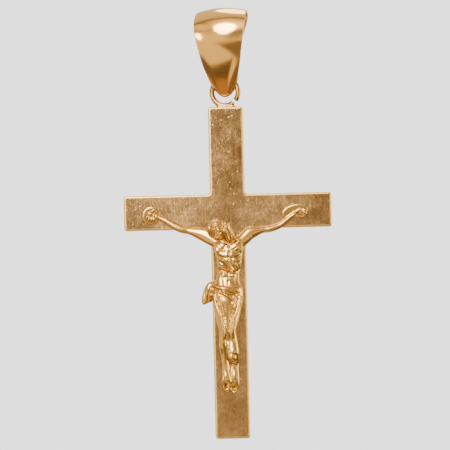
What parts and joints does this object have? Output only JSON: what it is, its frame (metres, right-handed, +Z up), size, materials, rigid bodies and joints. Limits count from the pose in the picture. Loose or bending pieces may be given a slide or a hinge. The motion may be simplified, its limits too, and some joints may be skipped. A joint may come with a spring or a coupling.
{
  "type": "crucifix pendant",
  "caption": "Flat gold cross with a cast figure, hanging by a soldered wire ring from a wide domed loop for a chain.",
  "frame": {"origin": "seat of the chain, the highest point inside the loop", "axes": "+Z up, the pendant hangs along -Z; the front of the cross with the figure faces -Y; +X to the viewer's right"},
  "size_m": [0.0288, 0.0078, 0.0598],
  "materials": {
    "loop_gold": "polished",
    "plate_gold": "satin, finely scratched",
    "figure_gold": "polished cast"
  },
  "bodies": {
    "loop": {"bail": "loop_gold"},
    "pendant": {"cross": "plate_gold", "corpus": "figure_gold"}
  },
  "joints": [
    {"name": "cross_swing", "type": "hinge", "parent": "loop", "child": "pendant", "pos_m": [0, 0, -0.01017], "axis": [0.9781, -0.2079, 0], "range_deg": [-26, 26]}
  ]
}
